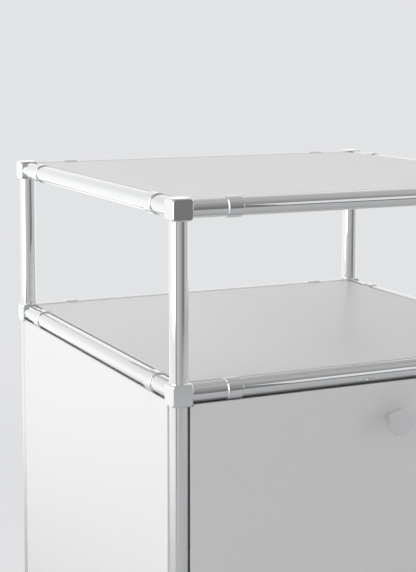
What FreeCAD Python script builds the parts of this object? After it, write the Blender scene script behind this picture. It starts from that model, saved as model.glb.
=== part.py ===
"""Locker cabinet on a chromed tube frame: one open bay above one closed bay with a drop-down flap.

All sizes are in millimetres. X runs across the width, Y from the front (-Y) to the back, Z up.
The origin is the middle of the whole cabinet's box, on the floor, with the knob counted in.
"""
import FreeCAD, Part
import math
import os

# ---- driving dimensions -----------------------------------------------------------------------

bay_width = 495.0          # between the axes of the left and right posts
bay_depth = 495.0          # between the axes of the front and rear posts
open_bay_height = 190.0    # between the shelf tubes' axes and the top tubes' axes
closed_bay_height = 380.0  # between the bottom tubes' axes and the shelf tubes' axes

tube_diameter = 20.0
tube_wall = 1.5
cube_margin = 1.5          # the cubes stand this much proud of the tubes all round
cube_chamfer = 1.0
cube_edge_round = 0.4
cube_corner_cut = 2.1      # taken off each corner, along the cube's diagonal

collar_wall = 1.5
collar_length = 18.0
collar_setback = 39.5      # bare tube between a cube's face and the collar
collar_chamfer = 1.0
lug_lip_gap = 0.3          # between an upright lug and the next panel's hemmed edge
lug_tip_margin = 4.5       # lug past the screw's axis

sheet = 1.0                # steel sheet of every pan and liner
panel_thickness = 14.0
door_depth = 8.7           # from the hinge's axis to the flap's back
face_drop = 0.7            # the tubes stand this much proud of the panels' faces
lip_thickness = 2.2        # hemmed edge that laps over the tube's shoulder
lip_lap = 1.0              # how far the hemmed edge laps over the tube
edge_round = 1.0
liner_flange = 4.5
panel_clearance = 0.5      # between a panel's folded edge and the cubes

screw_diameter = 4.0
screw_head_diameter = 7.0
screw_head_height = 2.4
screw_socket_diameter = 2.5
screw_socket_depth = 1.4
lug_hole_clearance = 0.2
screw_edge_distance = 5.0  # from a panel's folded edge to its screws
boss_diameter = 8.0
boss_height = 4.0

fitting_length = 22.0      # plug inside the end of a tube
stud_diameter = 6.0
stud_engagement = 7.5      # length of stud inside a cube

foot_height = 18.2
foot_diameter = 30.0
foot_top_diameter = 24.0
foot_base_height = 4.0
foot_base_chamfer = 1.0
foot_stop_gap = 0.3        # left under the cube when the foot is screwed right in
foot_stud_reach = 2.8      # how far the stud's tip passes the cube's centre
running_clearance = 0.05   # radial, in every bore that something slides or turns in
foot_bore_relief = 0.5     # past the stud's tip

door_clearance = 0.5       # between the flap's folded edge and the collars
door_lip_gap = 0.4         # between the flap's top lip and the shelf tube
hinge_pin_diameter = 6.0
hinge_pin_hole_clearance = 0.3
pin_depth_in_post = 6.0    # past the post's axis
pivot_block_width = 16.0
pivot_block_height = 21.0
stop_pocket_depth = 7.0
stop_flag_length = 4.0
stop_flag_width = 3.0
stop_flag_radius = 6.3
stop_clearance = 0.3

knob_diameter = 30.0
knob_thickness = 6.4
knob_bevel = 0.8
knob_neck_diameter = 11.0
knob_projection = 24.0     # from the flap's face to the knob's face
knob_drop = 49.0           # from the shelf tubes' axes down to the knob's axis
knob_neck_fillet = 1.5
knob_screw_head_diameter = 8.0
knob_screw_head_height = 2.6
knob_screw_depth = 12.0    # inside the knob

catch_width = 44.0
catch_wing_span = 76.0
catch_depth = 21.0
catch_height = 12.5
catch_gap = 0.4            # between the magnet's face and the flap
catch_round = 1.2
catch_screw_spacing = 60.0
catch_tube_clearance = 1.6

# ---- dependent sizes and places ----------------------------------------------------------------

tube_radius = tube_diameter / 2
bore_radius = tube_radius - tube_wall
cube_half = tube_radius + cube_margin
collar_radius = tube_radius + collar_wall
face_height = tube_radius - face_drop          # a panel's outer face, from the tubes' axes
panel_back = face_height - panel_thickness     # its inner face, from the same axes
door_thickness = face_height + door_depth
lip_setback = tube_radius - lip_lap
lug_thickness = lip_setback - lug_lip_gap + panel_back
body_setback = cube_half + panel_clearance
screw_inset = body_setback + screw_edge_distance
lug_reach = screw_inset + lug_tip_margin       # from the tube's axis to the lug's tip
collar_centre = cube_half + collar_setback + collar_length / 2
pin_radius = hinge_pin_diameter / 2
stud_radius = stud_diameter / 2

half_width = bay_width / 2
knob_face = face_height + knob_projection
rear_overhang = max(cube_half, foot_diameter / 2)
frame_shift = (knob_face - rear_overhang) / 2  # centres the whole box, knob and feet included
front_y = frame_shift - bay_depth / 2
rear_y = frame_shift + bay_depth / 2
bottom_level = foot_height + foot_stop_gap + cube_half
shelf_level = bottom_level + closed_bay_height
top_level = shelf_level + open_bay_height

hinge_height = bottom_level + collar_radius + door_clearance + face_height
door_body_top = shelf_level - collar_radius - door_clearance
door_lip_top = shelf_level - tube_radius - door_lip_gap
door_lip_bottom = hinge_height + body_setback + door_clearance
door_half_width = half_width - body_setback
knob_height = shelf_level - knob_drop

X = FreeCAD.Vector(1, 0, 0)
Y = FreeCAD.Vector(0, 1, 0)
Z = FreeCAD.Vector(0, 0, 1)

CORNERS = {
    "front_left": (-half_width, front_y),
    "front_right": (half_width, front_y),
    "rear_left": (-half_width, rear_y),
    "rear_right": (half_width, rear_y),
}
LEVELS = {"bottom": bottom_level, "shelf": shelf_level, "top": top_level}


# ---- small building blocks ----------------------------------------------------------------------

def block(corner, opposite):
    """A box between two opposite corners, given in any order."""
    low = FreeCAD.Vector(*(min(a, b) for a, b in zip(corner, opposite)))
    high = FreeCAD.Vector(*(max(a, b) for a, b in zip(corner, opposite)))
    size = high - low
    return Part.makeBox(size.x, size.y, size.z, low)


def rod(start, end, radius):
    """A round bar from one point to another."""
    along = end - start
    return Part.makeCylinder(radius, along.Length, start, along)


def join(shapes):
    """One solid from shapes that overlap or share faces."""
    whole = shapes[0]
    if len(shapes) > 1:
        whole = whole.multiFuse(shapes[1:])
    return whole.removeSplitter()


def prism(points, axis, width):
    """A solid from a closed outline of points and arc middles, pushed along an axis both ways."""
    edges = []
    for start, middle, end in points:
        if middle is None:
            edges.append(Part.makeLine(start, end))
        else:
            edges.append(Part.Arc(start, middle, end).toShape())
    face = Part.Face(Part.Wire(edges))
    face.translate(axis * (-width / 2))
    return face.extrude(axis * width)


def save(node, solids):
    """Writes one node's solids to its own file."""
    if len(solids) == 1:
        shape = solids[0]
    else:
        shape = Part.makeCompound(solids)
    shape.exportStep("parts/" + node + ".step")


# ---- frame: cubes, tubes, posts and what holds them together --------------------------------------

def inward(value, middle):
    """The sign of the way from a corner towards the cabinet's middle."""
    return 1.0 if value < middle else -1.0


def joint_directions(corner, level):
    """The ways in which tubes leave the cube at a corner and level."""
    x, y = CORNERS[corner]
    ways = [X * inward(x, 0.0), Y * inward(y, frame_shift)]
    if level != "top":
        ways.append(Z)
    if level != "bottom":
        ways.append(-Z)
    return ways


def cube_centre(corner, level):
    """The point where the tube axes meet."""
    x, y = CORNERS[corner]
    return FreeCAD.Vector(x, y, LEVELS[level])


def cube_body():
    """The outside of a cube connector, with bevelled edges and cut corners, about the origin."""
    reach = FreeCAD.Vector(cube_half, cube_half, cube_half)
    cube = block(-reach, reach)
    cube = cube.makeChamfer(cube_chamfer, cube.Edges)
    cube = cube.common(Part.makeSphere(cube_half * math.sqrt(3.0) - cube_corner_cut))
    return cube.makeFillet(cube_edge_round, cube.Edges)


def corner_cube(body, corner, level):
    """A cube connector with a blind hole for each stud, and the foot's bore in the lowest ones."""
    centre = cube_centre(corner, level)
    holes = []
    for way in joint_directions(corner, level):
        start = centre + way * (cube_half - stud_engagement)
        holes.append(rod(start, centre + way * (cube_half + 1.0), stud_radius))
    if level == "bottom":
        tip = centre + Z * (foot_stud_reach + foot_bore_relief)
        holes.append(rod(centre - Z * (cube_half + 1.0), tip, stud_radius))
    return body.translated(centre).cut(holes)


def hollow_tube(start, end):
    """A tube between two cube faces."""
    along = (end - start).normalize()
    outside = rod(start, end, tube_radius)
    inside = rod(start - along, end + along, bore_radius)
    return outside.cut(inside)


def tube_ends(level, side):
    """The axis points of one level tube, at its cubes' centres."""
    ends = {
        "front": ("front_left", "front_right"),
        "rear": ("rear_left", "rear_right"),
        "left": ("front_left", "rear_left"),
        "right": ("front_right", "rear_right"),
    }
    first, second = ends[side]
    return cube_centre(first, level), cube_centre(second, level)


def clear_of_cubes(start, end):
    """The same run, shortened at both ends to the cubes' faces."""
    along = (end - start).normalize()
    return start + along * cube_half, end - along * cube_half


def end_fitting(centre, way):
    """A plug in a tube's end with the stud that screws into the cube."""
    face = centre + way * cube_half
    plug = rod(face, face + way * fitting_length, bore_radius)
    stud = rod(centre + way * (cube_half - stud_engagement), face + way, stud_radius)
    return join([plug, stud])


SIDE_INWARD = {"front": Y, "rear": -Y, "left": X, "right": -X}


def panel_seats(level, side):
    """Each panel that a tube carries, as (way from the tube into the panel, panel's outer side)."""
    inner = SIDE_INWARD[side]
    seats = [(inner, Z)]
    if side != "front" and level == "shelf":
        seats.append((-Z, -inner))
    if side != "front" and level == "bottom":
        seats.append((Z, -inner))
    return seats


def collar(centre, along, seats):
    """A ring on a tube with one drilled lug for each panel that rests on it."""
    half = along * (collar_length / 2)
    ring = rod(centre - half, centre + half, collar_radius)
    rims = [edge for edge in ring.Edges if edge.Closed]
    solids = [ring.makeChamfer(collar_chamfer, rims)]
    holes = [rod(centre - along * collar_length, centre + along * collar_length, tube_radius)]
    for into, outer in seats:
        low = centre - half + outer * (panel_back - lug_thickness)
        solids.append(block(low, centre + half + into * lug_reach + outer * panel_back))
        axis_point = centre + into * screw_inset
        hole_radius = screw_diameter / 2 + lug_hole_clearance
        holes.append(rod(axis_point + outer * (panel_back - lug_thickness - 1.0),
                         axis_point + outer * (panel_back + 1.0), hole_radius))
    return join(solids).cut(holes)


def panel_screw(seat, outer):
    """A panel screw whose head bears on a lug; seat is on the screw's axis at the panel's inner face."""
    under_head = seat - outer * lug_thickness
    head_top = under_head - outer * screw_head_height
    shank = rod(under_head, seat + outer * (sheet + boss_height), screw_diameter / 2)
    head = rod(head_top, under_head, screw_head_diameter / 2)
    socket = rod(head_top, head_top + outer * screw_socket_depth, screw_socket_diameter / 2)
    return join([head, shank]).cut(socket)


def build_frame():
    """Writes the cubes, tubes, posts, end fittings, collars and panel screws."""
    fittings = []
    screws = []
    pins = [hinge_pin(-1.0), hinge_pin(1.0)]
    body = cube_body()
    for level in LEVELS:
        collars = []
        for side in SIDE_INWARD:
            start, end = tube_ends(level, side)
            along = (end - start).normalize()
            save("tube_" + level + "_" + side, [hollow_tube(*clear_of_cubes(start, end))])
            for centre in (start + along * collar_centre, end - along * collar_centre):
                seats = panel_seats(level, side)
                collars.append(collar(centre, along, seats))
                for into, outer in seats:
                    screws.append(panel_screw(centre + into * screw_inset + outer * panel_back, outer))
        save("collars_" + level, collars)
        for corner in CORNERS:
            save("cube_" + level + "_" + corner, [corner_cube(body, corner, level)])
            for way in joint_directions(corner, level):
                fitting = end_fitting(cube_centre(corner, level), way)
                if level == "bottom" and way == Z and corner.startswith("front"):
                    fitting = fitting.cut(pins)
                fittings.append(fitting)
    for corner in CORNERS:
        for name, low, high in (("lower", "bottom", "shelf"), ("upper", "shelf", "top")):
            ends = clear_of_cubes(cube_centre(corner, low), cube_centre(corner, high))
            post = hollow_tube(*ends)
            if name == "lower" and corner.startswith("front"):
                post = post.cut(pins)
            save("post_" + name + "_" + corner, [post])
    for side in (-1.0, 1.0):
        seat = FreeCAD.Vector(side * catch_screw_spacing / 2, catch_rear_y() - catch_screw_inset(),
                              shelf_level + panel_back)
        screws.append(panel_screw(seat, Z))
    save("tube_end_fittings", fittings)
    save("panel_screws", screws)
    save("hinge_pins", pins)


# ---- panels --------------------------------------------------------------------------------------

def screw_points(across, up, all_round):
    """The screws' places on a panel between tubes this far apart; all_round adds the side tubes."""
    points = []
    for u_sign in (-1.0, 1.0):
        for v_sign in (-1.0, 1.0):
            points.append((u_sign * (across / 2 - collar_centre), v_sign * (up / 2 - screw_inset)))
            if all_round:
                points.append((u_sign * (across / 2 - screw_inset), v_sign * (up / 2 - collar_centre)))
    return points


def flat_box(half_u, half_v, low, high):
    """A box centred on the panel's middle, between two depths."""
    return block((-half_u, -half_v, low), (half_u, half_v, high))


def round_face_edges(shape, radius):
    """Rounds the edges of the face that lies at depth 0."""
    rims = [edge for edge in shape.Edges
            if all(abs(vertex.Z) < 1e-6 for vertex in edge.Vertexes)]
    return shape.makeFillet(radius, rims)


def panel_pan(across, up):
    """The outer sheet, folded back all round, with its hemmed lip over the tubes' shoulders."""
    lip = flat_box(across / 2 - lip_setback, up / 2 - lip_setback, -lip_thickness, 0.0)
    notches = []
    for u_sign in (-1.0, 1.0):
        for v_sign in (-1.0, 1.0):
            inner = (u_sign * (across / 2 - body_setback), v_sign * (up / 2 - body_setback), 1.0)
            outer = (u_sign * across / 2, v_sign * up / 2, -panel_thickness)
            notches.append(block(inner, outer))
    lip = round_face_edges(lip.cut(notches), edge_round)
    body_u = across / 2 - body_setback
    body_v = up / 2 - body_setback
    body = flat_box(body_u, body_v, -panel_thickness, -edge_round)
    hollow = flat_box(body_u - sheet, body_v - sheet, -panel_thickness - 1.0, -sheet)
    return join([lip, body]).cut(hollow)


def panel_liner(across, up, points):
    """The inner sheet, a shallow tray nested in the pan, with a threaded boss for each screw."""
    half_u = across / 2 - body_setback - sheet
    half_v = up / 2 - body_setback - sheet
    tray = flat_box(half_u, half_v, -panel_thickness, liner_flange - panel_thickness)
    hollow = flat_box(half_u - sheet, half_v - sheet, sheet - panel_thickness, 1.0)
    tray = tray.cut(hollow)
    floor = sheet - panel_thickness
    bosses = []
    holes = []
    for u, v in points:
        foot = FreeCAD.Vector(u, v, floor)
        bosses.append(rod(foot, foot + Z * boss_height, boss_diameter / 2))
        holes.append(rod(foot - Z * (sheet + 1.0), foot + Z * (boss_height + 1.0), screw_diameter / 2))
    inside = flat_box(half_u, half_v, -panel_thickness, 0.0)
    bosses = [boss.common(inside) for boss in bosses]
    return join([tray] + bosses).cut(holes)


def place_panel(shape, across_axis, up_axis, outer, middle):
    """Turns a panel from its own flat frame to where it hangs."""
    matrix = FreeCAD.Matrix(
        across_axis.x, up_axis.x, outer.x, middle.x,
        across_axis.y, up_axis.y, outer.y, middle.y,
        across_axis.z, up_axis.z, outer.z, middle.z,
        0, 0, 0, 1)
    return shape.transformed(matrix, True)


def build_panel(name, across, up, across_axis, up_axis, outer, middle, points):
    """Writes a panel's pan and liner; middle is the panel's middle in the tubes' axis plane."""
    face_middle = middle + outer * face_height
    pan = panel_pan(across, up)
    liner = panel_liner(across, up, points)
    save(name + "_panel", [place_panel(pan, across_axis, up_axis, outer, face_middle)])
    save(name + "_liner", [place_panel(liner, across_axis, up_axis, outer, face_middle)])


def build_panels():
    """Writes the three level panels and the closed bay's two sides and back."""
    for level in LEVELS:
        points = screw_points(bay_width, bay_depth, True)
        if level == "shelf":
            catch_v = catch_rear_y() - catch_screw_inset() - frame_shift
            for side in (-1.0, 1.0):
                points.append((side * catch_screw_spacing / 2, catch_v))
        middle = FreeCAD.Vector(0, frame_shift, LEVELS[level])
        build_panel(level, bay_width, bay_depth, X, Y, Z, middle, points)
    mid_height = (bottom_level + shelf_level) / 2
    side_points = screw_points(bay_depth, closed_bay_height, False)
    back_points = screw_points(bay_width, closed_bay_height, False)
    left_middle = FreeCAD.Vector(-half_width, frame_shift, mid_height)
    right_middle = FreeCAD.Vector(half_width, frame_shift, mid_height)
    back_middle = FreeCAD.Vector(0, rear_y, mid_height)
    build_panel("left", bay_depth, closed_bay_height, -Y, Z, -X, left_middle, side_points)
    build_panel("right", bay_depth, closed_bay_height, Y, Z, X, right_middle, side_points)
    build_panel("back", bay_width, closed_bay_height, -X, Z, Y, back_middle, back_points)


# ---- flap door -----------------------------------------------------------------------------------

def door_point(outward, above_hinge):
    """A point in the flap's cross-section, from the hinge's axis."""
    return FreeCAD.Vector(0, front_y - outward, hinge_height + above_hinge)


def door_section(inset, back, width):
    """The flap's body: a slab whose lower front edge is rolled round the hinge's axis."""
    radius = face_height - inset
    top = door_body_top - hinge_height - inset
    roll_middle = radius * math.sqrt(0.5)
    outline = [
        (door_point(back, -radius), None, door_point(0, -radius)),
        (door_point(0, -radius), door_point(roll_middle, -roll_middle), door_point(radius, 0)),
        (door_point(radius, 0), None, door_point(radius, top)),
        (door_point(radius, top), None, door_point(back, top)),
        (door_point(back, top), None, door_point(back, -radius)),
    ]
    return prism(outline, X, width)


def door_hollow():
    """The space inside the flap's outer sheet, open at the back."""
    return door_section(sheet, -door_depth - 1.0, 2 * (door_half_width - sheet))


def door_pan():
    """The flap's outer sheet with folded edges, rolled foot, hemmed lips and the knob's hole."""
    body = door_section(0.0, -door_depth, 2 * door_half_width)
    lip_half = half_width - lip_setback
    lip = block((-lip_half, front_y - face_height, door_lip_bottom),
                (lip_half, front_y - face_height + lip_thickness, door_lip_top))
    notches = []
    for side in (-1.0, 1.0):
        notches.append(block((side * door_half_width, front_y - tube_radius, shelf_level - body_setback),
                             (side * half_width, front_y, shelf_level)))
    lip = lip.cut(notches)
    front = front_y - face_height
    rims = [edge for edge in lip.Edges
            if all(abs(vertex.Y - front) < 1e-6 for vertex in edge.Vertexes)
            and edge.CenterOfMass.z > door_lip_bottom + 1e-6]
    lip = lip.makeFillet(edge_round, rims)
    corner_trim = block((-half_width, front - 1.0, door_body_top - edge_round - 1.0),
                        (half_width, front + edge_round, door_body_top + 1.0))
    whole = join([lip, body.cut(corner_trim)])
    holes = [door_hollow(), knob_hole(knob_neck_diameter / 4)]
    for side in (-1.0, 1.0):
        start = FreeCAD.Vector(side * (door_half_width - 2 * sheet), front_y, hinge_height)
        holes.append(rod(start, start + X * (side * 4 * sheet), pin_radius + hinge_pin_hole_clearance))
    return whole.cut(holes)


def door_liner():
    """The flap's inner sheet, nested in the outer one."""
    flange_end = liner_flange - door_depth
    outside = door_section(sheet, -door_depth, 2 * (door_half_width - sheet))
    keep = block((-half_width, front_y + door_depth, bottom_level), (half_width, front_y - flange_end, shelf_level))
    hollow = door_section(2 * sheet, -door_depth, 2 * (door_half_width - 2 * sheet))
    hollow.translate(-Y * sheet)
    return outside.common(keep).cut([hollow, knob_hole(knob_screw_head_diameter / 2 + sheet)])


def knob_hole(radius):
    """A hole through the whole flap on the knob's axis."""
    start = FreeCAD.Vector(0, front_y - knob_face, knob_height)
    return rod(start, start + Y * (knob_face + door_thickness), radius)


def hinge_pin(side):
    """A pin pressed through the front post, with a flag at its tip that stops the flap when level."""
    post_x = side * half_width
    flag_start = post_x - side * (body_setback + sheet + pivot_block_width - stop_pocket_depth + stop_clearance)
    flag_end = flag_start - side * stop_flag_length
    start = FreeCAD.Vector(post_x + side * pin_depth_in_post, front_y, hinge_height)
    pin = rod(start, FreeCAD.Vector(flag_end, front_y, hinge_height), pin_radius)
    flag = block((flag_start, front_y - stop_flag_width / 2, hinge_height),
                 (flag_end, front_y + stop_flag_width / 2, hinge_height + stop_flag_radius))
    return join([pin, flag])


def pivot_block(side):
    """A bearing block in the flap's lower corner, with a quarter-turn pocket for the pin's flag."""
    outer_x = side * (door_half_width - sheet)
    inner_x = outer_x - side * pivot_block_width
    low = hinge_height - face_height + 2 * sheet
    body = block((outer_x, front_y + door_depth - sheet, low),
                 (inner_x, front_y - face_height, low + pivot_block_height))
    body = body.common(door_hollow()).cut(door_liner())
    bore = rod(FreeCAD.Vector(outer_x + side, front_y, hinge_height),
               FreeCAD.Vector(inner_x - side, front_y, hinge_height), pin_radius + running_clearance)
    pocket_x = inner_x + side * stop_pocket_depth
    open_x = inner_x - side
    reach = stop_flag_radius + stop_clearance
    half = stop_flag_width / 2 + stop_clearance
    sweep = rod(FreeCAD.Vector(pocket_x, front_y, hinge_height),
                FreeCAD.Vector(open_x, front_y, hinge_height), reach)
    quarter = block((pocket_x, front_y, hinge_height), (open_x, front_y + reach, hinge_height + reach))
    shut = block((pocket_x, front_y - half, hinge_height), (open_x, front_y + half, hinge_height + reach))
    level = block((pocket_x, front_y, hinge_height - half), (open_x, front_y + reach, hinge_height + half))
    hub = rod(FreeCAD.Vector(pocket_x, front_y, hinge_height),
              FreeCAD.Vector(open_x, front_y, hinge_height), pin_radius + stop_clearance)
    return body.cut([bore, sweep.common(quarter), shut, level, hub])


def knob():
    """A flat round knob on a slim neck, drilled from behind for its screw."""
    face_y = front_y - knob_face
    back_y = face_y + knob_thickness
    foot_y = front_y - face_height
    disc = rod(FreeCAD.Vector(0, face_y, knob_height), FreeCAD.Vector(0, back_y, knob_height), knob_diameter / 2)
    rims = [edge for edge in disc.Edges if edge.Closed]
    disc = disc.makeChamfer(knob_bevel, rims)
    disc = disc.makeFillet(knob_bevel / 2, [edge for edge in disc.Edges if edge.Closed])
    neck = rod(FreeCAD.Vector(0, back_y - 1.0, knob_height), FreeCAD.Vector(0, foot_y, knob_height),
               knob_neck_diameter / 2)
    whole = join([disc, neck])
    roots = [edge for edge in whole.Edges
             if edge.Closed and abs(edge.CenterOfMass.y - back_y) < 1e-3
             and abs(edge.Curve.Radius - knob_neck_diameter / 2) < 1e-3]
    whole = whole.makeFillet(knob_neck_fillet, roots)
    hole = rod(FreeCAD.Vector(0, foot_y - knob_screw_depth, knob_height),
               FreeCAD.Vector(0, foot_y + 1.0, knob_height), screw_diameter / 2)
    return whole.cut(hole)


def knob_screw():
    """The screw that holds the knob, its head against the inside of the flap's outer sheet."""
    skin_y = front_y - face_height + sheet
    tip = FreeCAD.Vector(0, front_y - face_height - knob_screw_depth, knob_height)
    seat = FreeCAD.Vector(0, skin_y, knob_height)
    back = seat + Y * knob_screw_head_height
    head = rod(seat, back, knob_screw_head_diameter / 2)
    socket = rod(back - Y * screw_socket_depth, back, screw_socket_diameter / 2)
    return join([head, rod(tip, seat, screw_diameter / 2)]).cut(socket)


def build_door():
    """Writes the flap, its liner, pivot blocks, knob and knob screw."""
    save("door_panel", [door_pan()])
    save("door_liner", [door_liner()])
    save("door_pivot_blocks", [pivot_block(-1.0), pivot_block(1.0)])
    save("door_knob", [knob()])
    save("knob_screw", [knob_screw()])


# ---- magnetic catch ------------------------------------------------------------------------------

def catch_face_y():
    """The magnet's face, just behind the shut flap."""
    return front_y + door_depth + catch_gap


def catch_rear_y():
    """The back of the catch."""
    return catch_face_y() + catch_depth


def catch_screw_inset():
    """From the back of the catch to its screws: the middle of its wings."""
    wing_depth = catch_rear_y() - (front_y + body_setback + sheet)
    return wing_depth / 2


def magnetic_catch():
    """A magnet in a moulded block that hangs on two wings under the shelf."""
    ceiling = shelf_level + panel_back
    block_top = shelf_level - tube_radius - catch_tube_clearance
    wing_front = front_y + body_setback + sheet
    body = block((-catch_width / 2, catch_face_y(), block_top - catch_height),
                 (catch_width / 2, catch_rear_y(), block_top))
    uprights = [edge for edge in body.Edges
                if abs(edge.Vertexes[0].Z - edge.Vertexes[1].Z) > 1.0]
    body = body.makeFillet(catch_round, uprights)
    stem = block((-catch_width / 2, wing_front, block_top - catch_height / 2),
                 (catch_width / 2, catch_rear_y() - catch_round, ceiling))
    wings = block((-catch_wing_span / 2, wing_front, ceiling - lug_thickness),
                  (catch_wing_span / 2, catch_rear_y() - catch_round, ceiling))
    holes = []
    for side in (-1.0, 1.0):
        top = FreeCAD.Vector(side * catch_screw_spacing / 2, catch_rear_y() - catch_screw_inset(), ceiling + 1.0)
        holes.append(rod(top, top - Z * (lug_thickness + 2.0), screw_diameter / 2 + lug_hole_clearance))
    return join([body, stem, wings]).cut(holes)


# ---- feet ----------------------------------------------------------------------------------------

def foot(corner):
    """A turned levelling foot whose stud screws up into the lowest cube."""
    x, y = CORNERS[corner]
    floor = FreeCAD.Vector(x, y, 0)
    base = rod(floor, floor + Z * foot_base_height, foot_diameter / 2)
    base = base.makeChamfer(foot_base_chamfer, [edge for edge in base.Edges if edge.Closed])
    cone = Part.makeCone(foot_diameter / 2 - foot_base_chamfer, foot_top_diameter / 2,
                         foot_height - foot_base_height, floor + Z * foot_base_height, Z)
    tip = cube_centre(corner, "bottom") + Z * foot_stud_reach
    stud = rod(floor + Z * (foot_height - 1.0), tip, stud_radius - running_clearance)
    return join([base, cone, stud])


def main():
    """Writes every node of the cabinet."""
    os.makedirs("parts", exist_ok=True)
    build_frame()
    build_panels()
    build_door()
    save("magnetic_catch", [magnetic_catch()])
    for corner in CORNERS:
        save("foot_" + corner, [foot(corner)])


main()
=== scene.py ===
"""Looks of a locker cabinet on a chromed tube frame: finishes, studio and camera.

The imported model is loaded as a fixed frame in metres, with its origin on the
floor under the middle of the cabinet, +X to the right and +Y to the rear.
"""

import logging
import math
from dataclasses import dataclass
from dataclasses import field
from enum import Enum

import bpy
from mathutils import Matrix
from mathutils import Vector

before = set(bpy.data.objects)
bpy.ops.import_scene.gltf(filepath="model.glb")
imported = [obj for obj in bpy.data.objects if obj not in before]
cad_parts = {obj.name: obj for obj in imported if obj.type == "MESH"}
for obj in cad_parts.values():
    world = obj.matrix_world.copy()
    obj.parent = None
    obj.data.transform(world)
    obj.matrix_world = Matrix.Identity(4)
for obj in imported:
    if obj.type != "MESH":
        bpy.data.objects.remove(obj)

LOG = logging.getLogger("locker_cabinet")
MILLIMETRE = 0.001
MIX_FIRST_COLOUR = 6
MIX_SECOND_COLOUR = 7
MIX_COLOUR = 2


class Look(Enum):
    """The families of finish found on the cabinet."""

    POWDER_COAT = "powder coat"
    CHROME = "chrome plate"
    ZINC = "zinc plate"
    PLASTIC = "moulded plastic"


def linear(level: float) -> float:
    """Turns a display level from 0 to 255 into a linear light level.

    Args:
        level: The display level.

    Returns:
        The linear level from 0 to 1.
    """
    share = level / 255.0
    if share <= 0.04045:
        return share / 12.92
    return ((share + 0.055) / 1.055) ** 2.4


def paint(red: float, green: float, blue: float) -> tuple[float, float, float, float]:
    """Gives a colour socket value from three display levels.

    Args:
        red: Red display level, 0 to 255.
        green: Green display level, 0 to 255.
        blue: Blue display level, 0 to 255.

    Returns:
        The linear colour with full alpha.
    """
    return (linear(red), linear(green), linear(blue), 1.0)


class NodeBoard:
    """Adds and joins shader nodes in one node tree."""

    def __init__(self, tree: bpy.types.NodeTree) -> None:
        """Keeps the tree that is filled.

        Args:
            tree: The node tree to fill.
        """
        self.tree = tree

    def add(self, kind: str, **settings: object) -> bpy.types.Node:
        """Adds a node and sets its options.

        Args:
            kind: The node's type name.
            **settings: Attribute values of the node.

        Returns:
            The new node.
        """
        node = self.tree.nodes.new(kind)
        for name, value in settings.items():
            setattr(node, name, value)
        return node

    def join(self, source: bpy.types.NodeSocket, target: bpy.types.NodeSocket) -> None:
        """Links an output to an input.

        Args:
            source: The output socket.
            target: The input socket.
        """
        self.tree.links.new(source, target)

    def math(self, operation: str, first: object, second: object) -> bpy.types.NodeSocket:
        """Adds a maths node on two values.

        Args:
            operation: The maths operation.
            first: A socket or a number.
            second: A socket or a number.

        Returns:
            The result socket.
        """
        node = self.add("ShaderNodeMath", operation=operation)
        for socket, value in zip(node.inputs, (first, second)):
            if isinstance(value, bpy.types.NodeSocket):
                self.join(value, socket)
            else:
                socket.default_value = value
        return node.outputs["Value"]

    def blend(self, share: bpy.types.NodeSocket, first: object, second: object) -> bpy.types.NodeSocket:
        """Adds a node that goes from one colour to another.

        Args:
            share: The second colour's share.
            first: A socket or a colour.
            second: A socket or a colour.

        Returns:
            The colour socket.
        """
        node = self.add("ShaderNodeMix", data_type="RGBA")
        self.join(share, node.inputs["Factor"])
        for index, value in ((MIX_FIRST_COLOUR, first), (MIX_SECOND_COLOUR, second)):
            if isinstance(value, bpy.types.NodeSocket):
                self.join(value, node.inputs[index])
            else:
                node.inputs[index].default_value = value
        return node.outputs[MIX_COLOUR]


class Effect:
    """A shared effect kept as a shader node group."""

    name = "effect"
    inputs: tuple[tuple[str, str, float], ...] = ()
    outputs: tuple[tuple[str, str], ...] = ()

    def group(self) -> bpy.types.NodeTree:
        """Finds or makes the node group.

        Returns:
            The node group.
        """
        found = bpy.data.node_groups.get(self.name)
        if found:
            return found
        tree = bpy.data.node_groups.new(self.name, "ShaderNodeTree")
        tree.interface.new_socket("Place", in_out="INPUT", socket_type="NodeSocketVector")
        for label, kind, value in self.inputs:
            socket = tree.interface.new_socket(label, in_out="INPUT", socket_type=kind)
            socket.default_value = value
        for label, kind in self.outputs:
            tree.interface.new_socket(label, in_out="OUTPUT", socket_type=kind)
        board = NodeBoard(tree)
        self.fill(board, board.add("NodeGroupInput"), board.add("NodeGroupOutput"))
        return tree

    def fill(self, board: NodeBoard, given: bpy.types.Node, result: bpy.types.Node) -> None:
        """Fills the group.

        Args:
            board: The board over the group's tree.
            given: The group's input node.
            result: The group's output node.
        """
        raise NotImplementedError

    def use(self, board: NodeBoard, place: bpy.types.NodeSocket, **values: float) -> bpy.types.Node:
        """Adds the group to a material.

        Args:
            board: The board over the material's tree.
            place: The coordinates that the effect follows.
            **values: Values of the group's inputs, with spaces written as underscores.

        Returns:
            The group node.
        """
        node = board.add("ShaderNodeGroup", node_tree=self.group())
        board.join(place, node.inputs["Place"])
        for label, value in values.items():
            node.inputs[label.replace("_", " ")].default_value = value
        return node


class ToneDrift(Effect):
    """Slow, faint change in brightness across a surface."""

    name = "tone_drift"
    inputs = (("Scale", "NodeSocketFloat", 8.0), ("Amount", "NodeSocketFloat", 0.02))
    outputs = (("Tone", "NodeSocketFloat"),)

    def fill(self, board: NodeBoard, given: bpy.types.Node, result: bpy.types.Node) -> None:
        """Fills the group with two noises about one.

        Args:
            board: The board over the group's tree.
            given: The group's input node.
            result: The group's output node.
        """
        noise = board.add("ShaderNodeTexNoise", noise_dimensions="3D")
        noise.inputs["Detail"].default_value = 3.0
        noise.inputs["Roughness"].default_value = 0.55
        board.join(given.outputs["Place"], noise.inputs["Vector"])
        board.join(given.outputs["Scale"], noise.inputs["Scale"])
        centred = board.math("SUBTRACT", noise.outputs["Fac"], 0.5)
        spread = board.math("MULTIPLY", centred, given.outputs["Amount"])
        board.join(board.math("ADD", spread, 1.0), result.inputs["Tone"])


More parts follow.
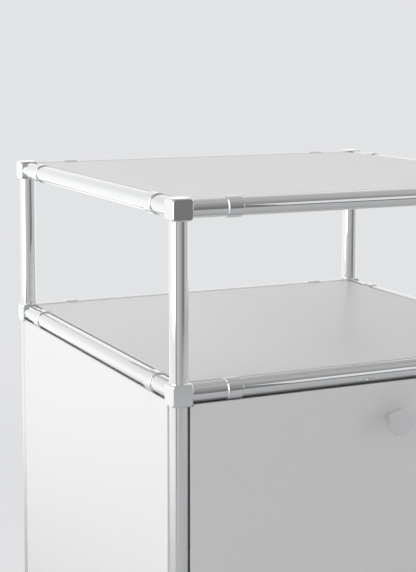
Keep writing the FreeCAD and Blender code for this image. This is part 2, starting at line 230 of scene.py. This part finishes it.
class OrangePeel(Effect):
    """The fine rolling texture of sprayed and baked powder, with sparse raised specks."""

    name = "orange_peel"
    inputs = (("Scale", "NodeSocketFloat", 900.0), ("Speck Scale", "NodeSocketFloat", 1600.0))
    outputs = (("Height", "NodeSocketFloat"),)

    def fill(self, board: NodeBoard, given: bpy.types.Node, result: bpy.types.Node) -> None:
        """Fills the group with a rolling height and raised specks.

        Args:
            board: The board over the group's tree.
            given: The group's input node.
            result: The group's output node.
        """
        roll = board.add("ShaderNodeTexNoise", noise_dimensions="3D")
        roll.inputs["Detail"].default_value = 1.5
        board.join(given.outputs["Place"], roll.inputs["Vector"])
        board.join(given.outputs["Scale"], roll.inputs["Scale"])
        cells = board.add("ShaderNodeTexVoronoi", feature="F1", voronoi_dimensions="3D")
        board.join(given.outputs["Place"], cells.inputs["Vector"])
        board.join(given.outputs["Speck Scale"], cells.inputs["Scale"])
        near = board.add("ShaderNodeMapRange", clamp=True)
        near.inputs["From Min"].default_value = 0.10
        near.inputs["From Max"].default_value = 0.16
        near.inputs["To Min"].default_value = 1.0
        near.inputs["To Max"].default_value = 0.0
        board.join(cells.outputs["Distance"], near.inputs["Value"])
        raised = board.math("MULTIPLY", near.outputs["Result"], 0.35)
        board.join(board.math("ADD", roll.outputs["Fac"], raised), result.inputs["Height"])


class PolishMarks(Effect):
    """Hairline marks and cloudiness left on plated metal by polishing and wiping."""

    name = "polish_marks"
    inputs = (("Mark Scale", "NodeSocketFloat", 260.0), ("Cloud Scale", "NodeSocketFloat", 40.0))
    outputs = (("Marks", "NodeSocketFloat"), ("Cloud", "NodeSocketFloat"))

    def fill(self, board: NodeBoard, given: bpy.types.Node, result: bpy.types.Node) -> None:
        """Fills the group with a stretched noise and a soft cloud.

        Args:
            board: The board over the group's tree.
            given: The group's input node.
            result: The group's output node.
        """
        turned = board.add("ShaderNodeMapping")
        turned.inputs["Rotation"].default_value = (0.5, 0.35, 0.8)
        turned.inputs["Scale"].default_value = (1.0, 14.0, 14.0)
        board.join(given.outputs["Place"], turned.inputs["Vector"])
        lines = board.add("ShaderNodeTexNoise", noise_dimensions="3D")
        lines.inputs["Detail"].default_value = 4.0
        board.join(turned.outputs["Vector"], lines.inputs["Vector"])
        board.join(given.outputs["Mark Scale"], lines.inputs["Scale"])
        thin = board.add("ShaderNodeMapRange", clamp=True)
        thin.inputs["From Min"].default_value = 0.60
        thin.inputs["From Max"].default_value = 0.72
        board.join(lines.outputs["Fac"], thin.inputs["Value"])
        cloud = board.add("ShaderNodeTexNoise", noise_dimensions="3D")
        cloud.inputs["Detail"].default_value = 2.0
        board.join(given.outputs["Place"], cloud.inputs["Vector"])
        board.join(given.outputs["Cloud Scale"], cloud.inputs["Scale"])
        board.join(thin.outputs["Result"], result.inputs["Marks"])
        board.join(cloud.outputs["Fac"], result.inputs["Cloud"])


class EdgeWearAndHighlightMask(Effect):
    """Marks the outer edges, where a finish is thinner and gets rubbed, and where a painted highlight is
    laid along the rims.
    """

    name = "edge_wear_and_highlight_mask"
    inputs = (("Radius", "NodeSocketFloat", 0.0008), ("Breakup Scale", "NodeSocketFloat", 180.0))
    outputs = (("Edge", "NodeSocketFloat"),)

    def fill(self, board: NodeBoard, given: bpy.types.Node, result: bpy.types.Node) -> None:
        """Fills the group by comparing a rounded normal with the true one.

        Args:
            board: The board over the group's tree.
            given: The group's input node.
            result: The group's output node.
        """
        rounded = board.add("ShaderNodeBevel", samples=4)
        board.join(given.outputs["Radius"], rounded.inputs["Radius"])
        surface = board.add("ShaderNodeNewGeometry")
        match = board.add("ShaderNodeVectorMath", operation="DOT_PRODUCT")
        board.join(rounded.outputs["Normal"], match.inputs[0])
        board.join(surface.outputs["Normal"], match.inputs[1])
        turn = board.add("ShaderNodeMapRange", clamp=True)
        turn.inputs["From Min"].default_value = 0.995
        turn.inputs["From Max"].default_value = 0.90
        board.join(match.outputs["Value"], turn.inputs["Value"])
        noise = board.add("ShaderNodeTexNoise", noise_dimensions="3D")
        noise.inputs["Detail"].default_value = 3.0
        board.join(given.outputs["Place"], noise.inputs["Vector"])
        board.join(given.outputs["Breakup Scale"], noise.inputs["Scale"])
        broken = board.math("MULTIPLY", turn.outputs["Result"], noise.outputs["Fac"])
        board.join(broken, result.inputs["Edge"])


@dataclass(frozen=True)
class Finish:
    """One finish of the cabinet and how it is shaded."""

    slot: str
    look: Look
    colour: tuple[float, float, float, float]
    roughness: float
    metallic: float
    tone_amount: float
    tone_scale: float
    gloss_spread: float
    grain_size: float
    grain_depth: float
    edge_radius: float
    # Colour laid on the edge mask: partly rubbed wear, partly a painted highlight along the rims.
    edge_wear_and_highlight_colour: tuple[float, float, float, float]
    edge_wear_and_highlight_amount: float

    def material(self) -> bpy.types.Material:
        """Builds the procedural material of this finish.

        Returns:
            The material.
        """
        made = bpy.data.materials.new(self.slot + "_finish")
        made.use_nodes = True
        made.node_tree.nodes.clear()
        board = NodeBoard(made.node_tree)
        shader = board.add("ShaderNodeBsdfPrincipled")
        output = board.add("ShaderNodeOutputMaterial")
        board.join(shader.outputs["BSDF"], output.inputs["Surface"])
        place = board.add("ShaderNodeTexCoord").outputs["Object"]
        self.colour_nodes(board, shader, place)
        self.surface_nodes(board, shader, place)
        shader.inputs["Metallic"].default_value = self.metallic
        return made

    def colour_nodes(self, board: NodeBoard, shader: bpy.types.Node, place: bpy.types.NodeSocket) -> None:
        """Feeds the base colour with a tone drift and a lighter edge, which is partly rubbed wear and partly
        a painted highlight.

        Args:
            board: The board over the material's tree.
            shader: The principled shader.
            place: Object coordinates.
        """
        drift = ToneDrift().use(board, place, Scale=self.tone_scale, Amount=self.tone_amount)
        toned = board.add("ShaderNodeVectorMath", operation="SCALE")
        toned.inputs[0].default_value = self.colour[:3]
        board.join(drift.outputs["Tone"], toned.inputs["Scale"])
        # Lighter edges: partly rubbed wear, partly a painted highlight along the rims.
        edge = EdgeWearAndHighlightMask().use(board, place, Radius=self.edge_radius)
        share = board.math("MULTIPLY", edge.outputs["Edge"], self.edge_wear_and_highlight_amount)
        edge_highlighted_and_worn = board.blend(share, toned.outputs["Vector"], self.edge_wear_and_highlight_colour)
        board.join(edge_highlighted_and_worn, shader.inputs["Base Color"])

    def surface_nodes(self, board: NodeBoard, shader: bpy.types.Node, place: bpy.types.NodeSocket) -> None:
        """Feeds the roughness and the normal with the finish's own grain.

        Args:
            board: The board over the material's tree.
            shader: The principled shader.
            place: Object coordinates.
        """
        if self.look in (Look.CHROME, Look.ZINC):
            grain = PolishMarks().use(board, place, Mark_Scale=1.0 / self.grain_size)
            height = grain.outputs["Marks"]
            change = grain.outputs["Cloud"]
        else:
            grain = OrangePeel().use(board, place, Scale=1.0 / self.grain_size)
            height = grain.outputs["Height"]
            drift = ToneDrift().use(board, place, Scale=self.tone_scale * 3.0, Amount=1.0)
            change = board.math("SUBTRACT", drift.outputs["Tone"], 0.5)
        spread = board.math("MULTIPLY", board.math("SUBTRACT", change, 0.5), self.gloss_spread)
        board.join(board.math("ADD", spread, self.roughness), shader.inputs["Roughness"])
        bump = board.add("ShaderNodeBump")
        bump.inputs["Strength"].default_value = 1.0
        bump.inputs["Distance"].default_value = self.grain_depth
        board.join(height, bump.inputs["Height"])
        board.join(bump.outputs["Normal"], shader.inputs["Normal"])


@dataclass(frozen=True)
class FinishBook:
    """All finishes of the cabinet, by material slot."""

    chrome_colour: tuple[float, float, float, float] = paint(232, 233, 234)
    # Brighter chrome on the edges: a painted highlight on the chamfers and rounded ends.
    chrome_edge_highlight: tuple[float, float, float, float] = paint(246, 246, 246)

    def chrome(self, slot: str, roughness: float) -> Finish:
        """Gives a chrome finish for one kind of part.

        Args:
            slot: The material slot.
            roughness: How matt the plating is.

        Returns:
            The finish.
        """
        return Finish(
            slot=slot,
            look=Look.CHROME,
            colour=self.chrome_colour,
            roughness=roughness,
            metallic=1.0,
            tone_amount=0.03,
            tone_scale=30.0,
            gloss_spread=0.04,
            grain_size=4.0 * MILLIMETRE,
            grain_depth=0.0003 * MILLIMETRE,
            edge_radius=0.4 * MILLIMETRE,
            edge_wear_and_highlight_colour=self.chrome_edge_highlight,
            edge_wear_and_highlight_amount=0.6,
        )

    def finishes(self) -> list[Finish]:
        """Lists the finishes.

        Returns:
            One finish for each material slot.
        """
        coat = Finish(
            slot="white_powder_coat",
            look=Look.POWDER_COAT,
            colour=paint(240, 240, 239),
            roughness=0.36,
            metallic=0.0,
            tone_amount=0.03,
            tone_scale=6.0,
            gloss_spread=0.08,
            grain_size=1.1 * MILLIMETRE,
            grain_depth=0.012 * MILLIMETRE,
            edge_radius=0.9 * MILLIMETRE,
            # Lighter rims on the white coat: a painted highlight along the folded panel edges, partly
            # thin-edge wear.
            edge_wear_and_highlight_colour=paint(247, 247, 246),
            edge_wear_and_highlight_amount=0.8,
        )
        zinc = Finish(
            slot="zinc_steel",
            look=Look.ZINC,
            colour=paint(196, 198, 202),
            roughness=0.34,
            metallic=1.0,
            tone_amount=0.12,
            tone_scale=90.0,
            gloss_spread=0.16,
            grain_size=1.5 * MILLIMETRE,
            grain_depth=0.003 * MILLIMETRE,
            edge_radius=0.3 * MILLIMETRE,
            edge_wear_and_highlight_colour=paint(222, 223, 225),
            edge_wear_and_highlight_amount=0.8,
        )
        bearing = Finish(
            slot="bearing_plastic",
            look=Look.PLASTIC,
            colour=paint(60, 61, 63),
            roughness=0.45,
            metallic=0.0,
            tone_amount=0.08,
            tone_scale=60.0,
            gloss_spread=0.12,
            grain_size=0.5 * MILLIMETRE,
            grain_depth=0.008 * MILLIMETRE,
            edge_radius=0.4 * MILLIMETRE,
            edge_wear_and_highlight_colour=paint(92, 93, 95),
            edge_wear_and_highlight_amount=0.7,
        )
        catch = Finish(
            slot="catch_plastic",
            look=Look.PLASTIC,
            colour=paint(214, 214, 212),
            roughness=0.42,
            metallic=0.0,
            tone_amount=0.05,
            tone_scale=60.0,
            gloss_spread=0.12,
            grain_size=0.6 * MILLIMETRE,
            grain_depth=0.008 * MILLIMETRE,
            edge_radius=0.4 * MILLIMETRE,
            edge_wear_and_highlight_colour=paint(232, 232, 230),
            edge_wear_and_highlight_amount=0.6,
        )
        return [
            self.chrome("tube_chrome", 0.05),
            self.chrome("cube_chrome", 0.05),
            self.chrome("collar_chrome", 0.05),
            self.chrome("knob_chrome", 0.10),
            self.chrome("foot_chrome", 0.12),
            coat,
            zinc,
            bearing,
            catch,
        ]


@dataclass
class Cabinet:
    """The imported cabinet, which is dressed with its finishes."""

    nodes: dict[str, bpy.types.Object]
    materials: dict[str, bpy.types.Material] = field(default_factory=dict)

    def dress(self) -> None:
        """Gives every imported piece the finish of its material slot."""
        for finish in FinishBook().finishes():
            self.materials[finish.slot] = finish.material()
        for node in self.nodes.values():
            for index, old in enumerate(list(node.data.materials)):
                node.data.materials[index] = self.materials[old.name.split(".")[0]]
        LOG.info("dressed %d packed pieces", len(self.nodes))


@dataclass(frozen=True)
class Surround:
    """The soft studio round the cabinet, as the light levels of its walls and ceiling."""

    left: float = 1.00
    left_edge: float = 0.22
    front_left: float = 0.66
    front: float = 0.44
    front_right: float = 0.21
    right: float = 0.60
    rear_right: float = 0.75
    rear: float = 1.20
    overhead: float = 0.48
    backdrop: tuple[float, float, float, float] = paint(226, 227, 229)

    def wall_levels(self) -> list[tuple[float, float]]:
        """Lists the walls' levels, from behind round by the left, the front and the right.

        Returns:
            Pairs of a bearing, in degrees from straight ahead with the right positive, and a level.
        """
        return [
            (-180.0, self.rear),
            (-120.0, self.left),
            (-66.0, self.left),
            (-61.0, self.left_edge),
            (-55.0, self.left_edge),
            (-46.0, self.front_left),
            (0.0, self.front),
            (24.0, self.front_right),
            (38.0, self.front_right),
            (52.0, self.right),
            (85.0, self.right),
            (104.0, self.rear_right),
            (135.0, self.rear),
        ]

    def walls(self, board: NodeBoard) -> bpy.types.NodeSocket:
        """Builds the walls' levels by bearing, fading into the ceiling.

        Args:
            board: The board over the world's tree.

        Returns:
            The colour socket.
        """
        way = board.add("ShaderNodeSeparateXYZ")
        board.join(board.add("ShaderNodeTexCoord").outputs["Generated"], way.inputs["Vector"])
        ahead = board.math("MULTIPLY", way.outputs["Y"], -1.0)
        bearing = board.math("ARCTAN2", way.outputs["X"], ahead)
        share = board.math("ADD", board.math("DIVIDE", bearing, 2.0 * math.pi), 0.5)
        ramp = board.add("ShaderNodeValToRGB")
        levels = self.wall_levels()
        while len(ramp.color_ramp.elements) < len(levels):
            ramp.color_ramp.elements.new(0.5)
        for element, (angle, level) in zip(ramp.color_ramp.elements, levels):
            element.position = (angle + 180.0) / 360.0
            element.color = (level, level, level, 1.0)
        board.join(share, ramp.inputs["Fac"])
        raised = board.math("MAXIMUM", way.outputs["Z"], 0.0)
        return board.blend(raised, ramp.outputs["Color"], (self.overhead, self.overhead, self.overhead, 1.0))

    def build(self) -> None:
        """Builds the world's nodes."""
        world = bpy.data.worlds.new("soft_studio")
        bpy.context.scene.world = world
        world.use_nodes = True
        world.node_tree.nodes.clear()
        board = NodeBoard(world.node_tree)
        direct = board.add("ShaderNodeLightPath").outputs["Is Camera Ray"]
        seen = board.blend(direct, self.walls(board), self.backdrop)
        sky = board.add("ShaderNodeBackground")
        board.join(seen, sky.inputs["Color"])
        output = board.add("ShaderNodeOutputWorld")
        board.join(sky.outputs["Background"], output.inputs["Surface"])


@dataclass(frozen=True)
class Softbox:
    """One large rectangular lamp aimed at a point."""

    name: str
    place: tuple[float, float, float]
    target: tuple[float, float, float]
    width: float
    height: float
    power: float

    def build(self) -> bpy.types.Object:
        """Builds the lamp.

        Returns:
            The lamp object.
        """
        lamp = bpy.data.lights.new(self.name, "AREA")
        lamp.shape = "RECTANGLE"
        lamp.size = self.width
        lamp.size_y = self.height
        lamp.energy = self.power
        made = bpy.data.objects.new(self.name, lamp)
        bpy.context.scene.collection.objects.link(made)
        made.location = self.place
        aim = Vector(self.target) - Vector(self.place)
        made.rotation_euler = aim.to_track_quat("-Z", "Y").to_euler()
        return made


@dataclass(frozen=True)
class Floor:
    """A plain pale floor that fades into the backdrop."""

    centre: tuple[float, float, float] = (0.6, -0.5, 0.0)
    fade_start: float = 1.0
    fade_end: float = 2.2
    seen_lift: float = 0.22
    colour: tuple[float, float, float, float] = paint(222, 223, 225)

    def build(self) -> bpy.types.Object:
        """Builds the floor.

        Returns:
            The floor object.
        """
        bpy.ops.mesh.primitive_circle_add(
            vertices=96,
            radius=self.fade_end,
            fill_type="NGON",
            location=self.centre,
        )
        made = bpy.context.active_object
        made.name = "studio_floor"
        made.data.materials.append(self.material())
        return made

    def material(self) -> bpy.types.Material:
        """Builds the floor's matt paint, clear at the rim and lifted where it is seen directly.

        Returns:
            The material.
        """
        made = bpy.data.materials.new("floor_paint")
        made.use_nodes = True
        made.node_tree.nodes.clear()
        board = NodeBoard(made.node_tree)
        matt = board.add("ShaderNodeBsdfDiffuse")
        matt.inputs["Color"].default_value = self.colour
        glow = board.add("ShaderNodeEmission")
        seen = board.add("ShaderNodeLightPath").outputs["Is Camera Ray"]
        board.join(board.math("MULTIPLY", seen, self.seen_lift), glow.inputs["Strength"])
        lit = board.add("ShaderNodeAddShader")
        board.join(matt.outputs["BSDF"], lit.inputs[0])
        board.join(glow.outputs["Emission"], lit.inputs[1])
        reach = board.add("ShaderNodeVectorMath", operation="LENGTH")
        board.join(board.add("ShaderNodeTexCoord").outputs["Object"], reach.inputs[0])
        fade = board.add("ShaderNodeMapRange", interpolation_type="SMOOTHSTEP")
        fade.inputs["From Min"].default_value = self.fade_start
        fade.inputs["From Max"].default_value = self.fade_end
        board.join(reach.outputs["Value"], fade.inputs["Value"])
        mixed = board.add("ShaderNodeMixShader")
        board.join(fade.outputs["Result"], mixed.inputs["Fac"])
        board.join(lit.outputs["Shader"], mixed.inputs[1])
        board.join(board.add("ShaderNodeBsdfTransparent").outputs["BSDF"], mixed.inputs[2])
        output = board.add("ShaderNodeOutputMaterial")
        board.join(mixed.outputs["Shader"], output.inputs["Surface"])
        return made


@dataclass(frozen=True)
class Viewpoint:
    """The camera's place, aim and lens."""

    place: tuple[float, float, float] = (-0.8155, -1.5210, 0.7630)
    heading: float = 25.084
    pitch: float = 6.0605
    roll: float = 0.0743
    lens: float = 88.36
    shift: float = -0.1588

    def build(self) -> bpy.types.Object:
        """Builds the camera and makes it the scene's camera.

        Returns:
            The camera object.
        """
        lens = bpy.data.cameras.new("camera")
        lens.lens = self.lens
        lens.sensor_width = 36.0
        lens.shift_y = self.shift
        lens.clip_start = 0.05
        lens.clip_end = 100.0
        made = bpy.data.objects.new("camera", lens)
        bpy.context.scene.collection.objects.link(made)
        turn = (
            Matrix.Rotation(math.radians(-self.heading), 4, "Z")
            @ Matrix.Rotation(math.radians(90.0 - self.pitch), 4, "X")
            @ Matrix.Rotation(math.radians(self.roll), 4, "Z")
        )
        made.matrix_world = Matrix.Translation(Vector(self.place)) @ turn
        bpy.context.scene.camera = made
        return made


@dataclass
class Studio:
    """The surround, the lamps, the floor and the camera."""

    surround: Surround = field(default_factory=Surround)
    floor: Floor = field(default_factory=Floor)
    viewpoint: Viewpoint = field(default_factory=Viewpoint)
    softboxes: list[Softbox] = field(default_factory=list)

    def build(self) -> None:
        """Builds the whole studio."""
        self.surround.build()
        self.floor.build()
        for softbox in self.softboxes:
            softbox.build()
        self.viewpoint.build()
        bpy.context.scene.view_settings.view_transform = "Standard"


def main() -> None:
    """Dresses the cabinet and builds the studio."""
    logging.basicConfig(level=logging.INFO)
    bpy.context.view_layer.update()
    bpy.ops.object.select_all(action="DESELECT")
    Cabinet(nodes=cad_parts).dress()
    lamps = [
        Softbox("left_softbox", (-2.0, -0.1, 1.1), (0.0, 0.0, 0.5), 2.4, 2.2, 15.0),
        Softbox("right_softbox", (1.7, -1.35, 0.80), (0.0, -0.24, 0.5), 2.6, 0.9, 4.6),
    ]
    Studio(softboxes=lamps).build()
    bpy.context.view_layer.update()


if __name__ == "__main__":
    main()
